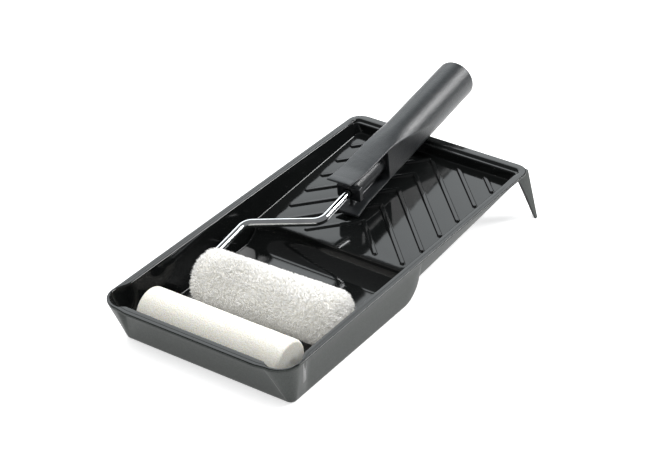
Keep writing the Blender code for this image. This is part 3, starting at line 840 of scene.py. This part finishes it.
def make_handle(material):
    """The handle: booleans give its form, a fine remesh and a light smooth round every edge a little."""
    handle = add_object("handle_grip", handle_blank())
    cavity = add_object("cavity", cavity_mesh())
    block_end, inside = BLOCK_START + BLOCK_THICKNESS, BLOCK_START + BLOCK_THICKNESS / 2
    across, up, far = BLOCK_HALF_WIDTH, BLOCK_HALF_HEIGHT, WINDOW_END + BEYOND
    cut(cavity, block_mesh((-across, BLOCK_START, -up), (across, block_end, up)))
    web = block_mesh((-WEB_HALF_WIDTH, inside, -BEYOND), (WEB_HALF_WIDTH, far, BEYOND))
    cut(cavity, web)
    cut(cavity, rod_mesh(BOSS_RADIUS, inside, far))
    cut(handle, cavity.data.copy())
    bpy.data.objects.remove(cavity)
    chin_low = (-BEYOND, HEAD_START - BEYOND / 2, -BEYOND)
    cut(handle, block_mesh(chin_low, (BEYOND, LOWER_PLATE_START, -INNER_PLANE)))
    cut(handle, rod_mesh(WIRE_RADIUS + FIT_GAP, HEAD_START, BORE_END))
    remesh = handle.modifiers.new("fine", "REMESH")
    remesh.mode = "VOXEL"
    remesh.voxel_size = 0.00050
    smooth = handle.modifiers.new("soften", "SMOOTH")
    smooth.factor = 0.5
    smooth.iterations = 4
    mesh = applied(handle)
    mesh.transform(AXLE_FRAME @ Matrix.Translation((HANDLE_X, 0.0, 0.0)))
    bpy.data.objects.remove(handle)
    grip = add_piece("handle_grip", mesh, material)
    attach(grip, "frame")
    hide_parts("handle_body")


# ---- sleeves

def cover_section(radius, left, right, edge_radius):
    """Outer half of a sleeve cover's section, from the dimple in its domed right end to the left end."""
    centre = radius - edge_radius

    def face(r):
        dimple = 0.5 + 0.5 * math.cos(math.pi * min(1.0, r / DIMPLE_RADIUS))
        return right - END_DOME * (r / centre) ** 2 - DIMPLE_DEPTH * dimple

    end = [(r, face(r)) for r in np.linspace(0.0001, centre, 26)[:-1]]
    top = [(x, z) for z, x in arc((right - END_DOME - edge_radius, centre), edge_radius, 0, 90, 14)]
    bottom = [(x, z) for z, x in arc((left + edge_radius, centre), edge_radius, 90, 180, 14)]
    straight = [(radius, z) for z in np.linspace(top[-1][1], bottom[0][1], 90)[1:-1]]
    return end + top + straight + bottom


def cover_mesh(name, radius, left, right, edge_radius, steps, transform, displace):
    """A soft cover: displaced outside, plain bore inside."""
    outside = cover_section(radius, left, right, edge_radius)
    bore = CORE_RADIUS + FIT_GAP
    bore_end = right - CLOSED_END
    inside = [(bore + 0.0008, left), (bore, left + 0.0008)]
    inside += [(bore, z) for z in np.linspace(left + 0.004, bore_end, 10)] + [(0.0001, bore_end)]
    points = lathe_points(outside + inside, steps)
    count = len(outside) * steps
    points[:count] = displace(points[:count])
    return solid(name, points, steps, transform)


def waves(seed, count, lowest, highest):
    """Smooth noise in three dimensions: a sum of plane waves with wavelengths between two lengths."""
    rng = np.random.default_rng(seed)
    directions = unit(rng.normal(size=(count, 3)))
    numbers = math.tau / rng.uniform(lowest, highest, count)
    phases = rng.uniform(0, math.tau, count)

    def value(points):
        return np.sin(points @ (directions * numbers[:, None]).T + phases).sum(axis=1) / math.sqrt(count)

    return value


def radial(points):
    """Unit directions away from the Z axis, and the radius."""
    radius = np.linalg.norm(points[:, :2], axis=1)
    away = points * [1, 1, 0] / np.maximum(radius, 1e-6)[:, None]
    return away, radius


def foam_displace(points):
    """Fine open cells and a little unevenness in the cut foam."""
    coarse, fine = waves(11, 24, 0.012, 0.030), waves(12, 60, 0.0011, 0.0022)
    away, _ = radial(points)
    return points + away * (0.00010 * coarse(points) + 0.00003 * fine(points))[:, None]


def pile_displace(points):
    """The woven backing under the nap, lumpy where tufts crowd."""
    lumps = waves(21, 40, 0.0030, 0.0080)
    away, _ = radial(points)
    return points + away * (0.00025 * lumps(points))[:, None]


def make_foam(material):
    half, transform = FOAM_LENGTH / 2, SPARE_FRAME @ Z_TO_X
    mesh = cover_mesh(
        "foam_sleeve", FOAM_RADIUS, -half, half, FOAM_EDGE_RADIUS, 200, transform, foam_displace
    )
    foam = add_piece("foam_sleeve", mesh, material)
    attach(foam, "spare_sleeve")
    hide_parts("foam_cover")


def strand_roots(rng, count):
    """Points and normals of strand roots on the sleeve, in the axle's frame."""
    ends = PILE_LEFT + 0.0020, PILE_RIGHT - 0.0009
    section = np.array(cover_section(NAP_BASE_RADIUS, *ends, NAP_EDGE_RADIUS))
    steps = np.hypot(*np.diff(section, axis=0).T)
    weights = steps * (section[1:, 0] + section[:-1, 0]) / 2
    pick = rng.choice(len(steps), count, p=weights / weights.sum())
    t = rng.uniform(0, 1, count)[:, None]
    spots = section[pick] * (1 - t) + section[pick + 1] * t
    along = unit(section[pick + 1] - section[pick])
    normal_r, normal_x = -along[:, 1], along[:, 0]
    angle = rng.uniform(0, math.tau, count)
    cos, sin = np.cos(angle), np.sin(angle)
    roots = np.column_stack([spots[:, 1], spots[:, 0] * cos, spots[:, 0] * sin])
    normals = np.column_stack([normal_x, normal_r * cos, normal_r * sin])
    return roots, normals


def strands(rng, count, roots, normals, clump_tree, clump_tips):
    """Root, middle and tip of each strand: it leans with a slow swirl and gathers in a tuft."""
    swirl_a, swirl_b = waves(31, 12, 0.020, 0.050), waves(32, 12, 0.020, 0.050)
    axis = np.array([1.0, 0.0, 0.0])
    around = unit(np.cross(normals + [0.001, 0, 0], axis))
    lean = around * (0.35 * swirl_a(roots) + 0.20)[:, None] + axis * (0.35 * swirl_b(roots))[:, None]
    jitter = rng.normal(size=(count, 3)) * 0.28
    length = rng.uniform(*STRAND_LENGTHS, count)[:, None]
    direction = unit(normals + lean + jitter)
    tips = roots + direction * length
    middles = roots + unit(normals + 0.3 * jitter) * length * 0.55
    for i in range(count):
        _, index, _ = clump_tree.find(roots[i])
        tips[i] += (clump_tips[index] - tips[i]) * 0.38
        middles[i] += (clump_tips[index] - middles[i]) * 0.15
    return middles, tips


def nap_mesh(name, rng, count, clump_tree, clump_tips, floor_z):
    """Tapered three-sided strands, each a closed solid."""
    roots, normals = strand_roots(rng, count)
    middles, tips = strands(rng, count, roots, normals, clump_tree, clump_tips)
    along = unit(tips - roots)
    side = unit(np.cross(along, rng.normal(size=(count, 3))))
    other = np.cross(along, side)
    thick = rng.uniform(*STRAND_RADII, count)[:, None]
    points = np.empty((count, 7, 3))
    for k in range(3):
        a = math.tau * k / 3
        offset = side * math.cos(a) + other * math.sin(a)
        points[:, k] = roots + offset * thick
        points[:, 3 + k] = middles + offset * thick * 0.8
    points[:, 6] = tips
    points = points.reshape(-1, 3)
    reach = np.hypot(points[:, 1], points[:, 2])[:, None]
    pressed = NAP_REACH + (reach - NAP_REACH) * NAP_YIELD
    points[:, 1:] *= np.where(reach > NAP_REACH, pressed / np.maximum(reach, NAP_REACH), 1.0)
    rotation = np.array(AXLE_FRAME.to_3x3())
    points = points @ rotation.T + np.array(AXLE_FRAME.translation)
    points[:, 2] = np.maximum(points[:, 2], floor_z)
    strand = [(2, 1, 0)]
    for k, j in ((0, 1), (1, 2), (2, 0)):
        strand += [(k, j, 3 + j, 3 + k), (3 + k, 3 + j, 6)]
    faces = [tuple(base + i for i in face) for base in range(0, 7 * count, 7) for face in strand]
    mesh = bpy.data.meshes.new(name)
    mesh.from_pydata(points.tolist(), [], faces)
    return mesh


def make_pile(shaded_backing_material, nap_material):
    transform = AXLE_FRAME @ Z_TO_X
    mesh = cover_mesh(
        "fleece_backing", NAP_BASE_RADIUS + 0.0010, PILE_LEFT + 0.0015, PILE_RIGHT - 0.0006,
        NAP_EDGE_RADIUS, 120, transform, pile_displace,
    )
    # The backing's material carries painted shade: it is darker than the strands above it.
    backing = add_piece("fleece_backing", mesh, shaded_backing_material)
    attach(backing, "sleeve")
    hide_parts("pile_cover")
    rng = np.random.default_rng(7)
    roots, normals = strand_roots(rng, TUFTS)
    clump_tips = roots + unit(normals + rng.normal(size=roots.shape) * 0.35) * TUFT_HEIGHT
    tree = kdtree.KDTree(len(roots))
    for i, root in enumerate(roots):
        tree.insert(root, i)
    tree.balance()
    for number in range(NAP_PIECES):
        name = f"fleece_nap_{number + 1}"
        mesh = nap_mesh(name, rng, STRANDS_PER_PIECE, tree, clump_tips, WALL + 0.0002)
        nap = add_piece(name, mesh, nap_material)
        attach(nap, "sleeve")


def make_core(name, node, body, left, right, place, material):
    """A sleeve's core tube with small chamfers on its rims, between the ends of its cover."""
    left, right = left + CORE_INSET, right - CLOSED_END - BEARING_FLANGE - 2 * FIT_GAP
    outer, inner, chamfer = CORE_RADIUS, CORE_RADIUS - CORE_WALL, 0.0003
    low, high = left + chamfer, right - chamfer
    profile = [
        (outer - chamfer, right), (outer, high), (outer, low), (outer - chamfer, left),
        (inner + chamfer, left), (inner, low), (inner, high), (inner + chamfer, right),
    ]
    mesh = lathe(name, profile, 96, place @ Z_TO_X, looped=True)
    core = add_piece(name, mesh, material, sharp_angle=35)
    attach(core, body)
    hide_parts(node)


def make_cores(material):
    half = FOAM_LENGTH / 2
    make_core("fleece_core", "pile_core", "sleeve", PILE_LEFT, PILE_RIGHT, AXLE_FRAME, material)
    make_core("spare_core", "foam_core", "spare_sleeve", -half, half, SPARE_FRAME, material)


def make_bearings(material):
    """The CAD bearings only get their finish, as their shapes are already right."""
    for name in ("inner_bearing", "outer_bearing"):
        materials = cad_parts[name].data.materials
        materials.clear()
        materials.append(material)


# ---- materials

class Nodes:
    """A small builder for one material's nodes. An input is a value or another node's output."""

    def __init__(self, name):
        self.material = bpy.data.materials.new(name)
        self.material.use_nodes = True
        self.tree = self.material.node_tree
        self.coords = self.add("ShaderNodeTexCoord").outputs["Object"]

    def fill(self, node, inputs):
        for key, value in inputs.items():
            if isinstance(value, bpy.types.NodeSocket):
                self.tree.links.new(value, node.inputs[key])
            else:
                node.inputs[key].default_value = value

    def add(self, kind, inputs=None, **settings):
        node = self.tree.nodes.new(kind)
        for key, value in settings.items():
            setattr(node, key, value)
        self.fill(node, inputs or {})
        return node

    def noise(self, scale, detail=3.0, roughness=0.5, stretch=None):
        source = self.coords
        if stretch:
            source = self.add("ShaderNodeMapping", {"Vector": source, "Scale": stretch}).outputs["Vector"]
        inputs = {"Vector": source, "Scale": scale, "Detail": detail, "Roughness": roughness}
        return self.add("ShaderNodeTexNoise", inputs).outputs["Fac"]

    def cells(self, scale):
        inputs = {"Vector": self.coords, "Scale": scale}
        return self.add("ShaderNodeTexVoronoi", inputs).outputs["Distance"]

    def ramp(self, value, stops):
        node = self.add("ShaderNodeValToRGB", {"Fac": value})
        elements = node.color_ramp.elements
        while len(elements) < len(stops):
            elements.new(0.5)
        for element, (position, colour) in zip(elements, stops):
            element.position = position
            element.color = (*colour, 1.0)
        return node.outputs["Color"]

    def mottled(self, noise, low, high, start=0.3, end=0.7):
        return self.ramp(noise, [(start, low), (end, high)])

    def between(self, value, low, high):
        inputs = {"Value": value, "To Min": low, "To Max": high}
        return self.add("ShaderNodeMapRange", inputs).outputs["Result"]

    def mix(self, share, first, second):
        inputs = {"Factor": share, 6: first, 7: second}
        return self.add("ShaderNodeMix", inputs, data_type="RGBA").outputs[2]

    def sum_of(self, first, second):
        return self.add("ShaderNodeMath", {0: first, 1: second}, operation="ADD").outputs[0]

    def bump(self, height, distance, strength, before=None):
        inputs = {"Height": height, "Distance": distance, "Strength": strength}
        if before:
            inputs["Normal"] = before
        return self.add("ShaderNodeBump", inputs).outputs["Normal"]

    def shade(self, **inputs):
        """Fills the shader's inputs, named with _ for a space, and gives the finished material."""
        named = {name.replace("_", " "): value for name, value in inputs.items()}
        self.fill(self.tree.nodes["Principled BSDF"], named)
        return self.material


def tray_material():
    """Black polypropylene: glossy inside with faint flow waves and handling haze, satin outside."""
    n = Nodes("tray_gloss_black")
    outside = n.add("ShaderNodeAttribute", attribute_name="outside").outputs["Fac"]
    gloss = n.mottled(n.noise(18.0, 4.0), (0.0050, 0.0056, 0.0056), (0.0070, 0.0077, 0.0076), 0.35, 0.65)
    satin = n.mottled(n.noise(900.0, 3.0), (0.029, 0.033, 0.031), (0.042, 0.047, 0.044), 0.35, 0.65)
    haze = n.between(n.noise(60.0, 6.0, 0.65), 0.06, 0.11)
    flow = n.bump(n.noise(45.0, 1.0), 0.0004, 0.05)
    return n.shade(
        Base_Color=n.mix(outside, gloss, satin),
        IOR=1.42,
        Roughness=n.sum_of(haze, n.between(outside, 0.0, 0.22)),
        Specular_IOR_Level=n.between(outside, 0.50, 0.17),
        Normal=n.bump(n.noise(1400.0, 2.0), 0.00003, 0.06, flow),
    )


def handle_material():
    """Black polypropylene with a fine spark-eroded grain."""
    n = Nodes("handle_grained_black")
    grain = n.bump(n.cells(1500.0), 0.00016, 0.60)
    return n.shade(
        Base_Color=n.mottled(n.noise(250.0, 3.0), (0.017, 0.019, 0.021), (0.026, 0.028, 0.030)),
        IOR=1.5,
        Roughness=n.between(n.noise(500.0, 4.0), 0.30, 0.42),
        Normal=n.bump(n.noise(800.0, 3.0), 0.00010, 0.45, grain),
    )


def steel_material():
    """Bright plated steel wire with faint drawing lines and small stains."""
    n = Nodes("plated_steel_wire")
    return n.shade(
        Base_Color=n.mottled(n.noise(120.0, 4.0), (0.72, 0.73, 0.74), (0.80, 0.81, 0.82)),
        Metallic=1.0,
        Roughness=n.between(n.noise(300.0, 5.0, 0.6), 0.04, 0.10),
        Normal=n.bump(n.noise(700.0, 2.0, stretch=(0.2, 1, 1)), 0.00002, 0.15),
    )


def bearing_material():
    """Black acetal, dull from turning."""
    n = Nodes("bearing_black")
    return n.shade(
        Base_Color=n.mottled(n.noise(300.0), (0.022, 0.022, 0.024), (0.032, 0.032, 0.034)),
        Roughness=n.between(n.noise(500.0, 3.0), 0.28, 0.42),
        Normal=n.bump(n.noise(1500.0, 2.0), 0.00004, 0.2),
    )


def core_material():
    """Natural polypropylene tube, slightly cloudy, with extrusion lines."""
    n = Nodes("core_natural")
    cloud = n.noise(140.0, 3.0, stretch=(0.1, 1, 1))
    return n.shade(
        Base_Color=n.mottled(cloud, (0.50, 0.50, 0.47), (0.60, 0.60, 0.57)),
        Roughness=n.between(n.noise(400.0, 3.0), 0.40, 0.55),
        Normal=n.bump(n.noise(1200.0, 2.0, stretch=(0.05, 1, 1)), 0.00004, 0.3),
    )


def foam_material():
    """Cream foam with fine open cells, each pore darkened to olive towards its bottom as painted shade in
    the hollow.
    """
    n = Nodes("foam_cream")
    cells = n.cells(1300.0)
    pores = n.bump(cells, 0.00024, 0.45)
    # The colour follows the pores' depth: darker and olive towards the bottom of each pore, painted shade
    # in the hollows.
    stops = [(0.05, (0.50, 0.47, 0.35)), (0.30, (0.81, 0.79, 0.70)), (0.75, (0.88, 0.87, 0.82))]
    return n.shade(
        Base_Color=n.ramp(cells, stops),
        Roughness=0.9,
        Subsurface_Weight=0.25,
        Subsurface_Radius=(0.004, 0.0032, 0.0020),
        Subsurface_Scale=1.0,
        Normal=n.bump(n.noise(700.0, 4.0), 0.00012, 0.21, pores),
    )


def glowing_fleece_material(name, low, high):
    """White polyester fibre with small differences between tufts, made to glow faintly: painted light that
    brightens the fleece though it is no lamp.
    """
    n = Nodes(name)
    return n.shade(
        Base_Color=n.mottled(n.noise(260.0, 5.0, 0.6), low, high, 0.35, 0.65),
        Roughness=0.75,
        Sheen_Weight=0.25,
        Sheen_Roughness=0.5,
        # Painted light: a faint warm glow that brightens the fleece's strands and backing as if they were
        # more lit.
        Emission_Color=(1.0, 0.985, 0.94, 1.0),
        Emission_Strength=0.10,
        Normal=n.bump(n.noise(2500.0, 2.0), 0.00006, 0.3),
    )


def floor_material():
    """Plain white studio floor with a barely visible paper tooth."""
    n = Nodes("studio_floor")
    return n.shade(
        Base_Color=n.mottled(n.noise(3.0), (0.80,) * 3, (0.81,) * 3),
        Roughness=0.9,
        Specular_IOR_Level=0.2,
        Emission_Color=(1.0, 1.0, 1.0, 1.0),
        Emission_Strength=0.66,
    )


# ---- stage, light and camera

def make_floor():
    mesh = bpy.data.meshes.new("studio_floor")
    with editing(mesh) as bm:
        bmesh.ops.create_circle(bm, cap_ends=True, segments=64, radius=6.0)
    mesh.transform(Matrix.Translation((0.0, 0.0, -0.0002)))
    floor = add_piece("studio_floor", mesh, floor_material(), smooth=False)


def softbox(name, direction, distance, width, height, radiance, colour=(1.0, 1.0, 1.0)):
    """An area light that faces the tray. radiance is what a mirror would see of it."""
    data = bpy.data.lights.new(name, "AREA")
    data.shape = "RECTANGLE"
    data.size, data.size_y = width, height
    data.energy = math.pi * width * height * radiance
    data.color = colour
    light = add_object(name, data)
    direction = Vector(direction).normalized()
    light.location = Vector((0.0, 0.05, 0.0)) + direction * distance
    light.rotation_euler = direction.to_track_quat("Z", "Y").to_euler()
    light.visible_camera = False
    return light


def make_lights():
    world = bpy.context.scene.world = bpy.data.worlds.new("studio")
    world.use_nodes = True
    background = world.node_tree.nodes["Background"].inputs
    background["Color"].default_value = (0.96, 0.98, 1.0, 1.0)
    background["Strength"].default_value = 0.22
    softbox("overhead", (-0.05, -0.22, 1.0), 1.7, 1.3, 1.3, 5.0).visible_glossy = False
    softbox("rear_left_panel", (-0.60, 0.66, 0.49), 1.8, 1.30, 0.95, 2.3, (0.93, 0.98, 1.0))
    softbox("key_rear_right", (0.46, 0.66, 0.60), 1.9, 0.75, 0.60, 22.0)


def make_camera():
    data = bpy.data.cameras.new("camera")
    data.sensor_width = 36.0
    data.lens = CAMERA_LENS
    camera = add_object("camera", data)
    turn, tilt, roll = (
        Matrix.Rotation(math.radians(angle), 4, axis) for angle, axis in zip(CAMERA_ANGLES, "ZXZ")
    )
    camera.matrix_world = Matrix.Translation(CAMERA_PLACE) @ turn @ tilt @ roll
    scene = bpy.context.scene
    scene.camera = camera
    scene.view_settings.view_transform = "Standard"
    scene.view_settings.look = "None"


def main():
    make_camera()
    make_floor()
    make_lights()
    make_tray(tray_material())
    make_wire(steel_material())
    make_handle(handle_material())
    make_foam(foam_material())
    make_pile(
        # The backing's darker, warmer colour is painted shade at the foot of the nap, among the strands'
        # roots.
        glowing_fleece_material("fleece_ground_painted_shade", (0.70, 0.685, 0.62), (0.80, 0.785, 0.74)),
        glowing_fleece_material("fleece_fibre", (0.90, 0.89, 0.86), (0.97, 0.965, 0.95)),
    )
    make_cores(core_material())
    make_bearings(bearing_material())


main()
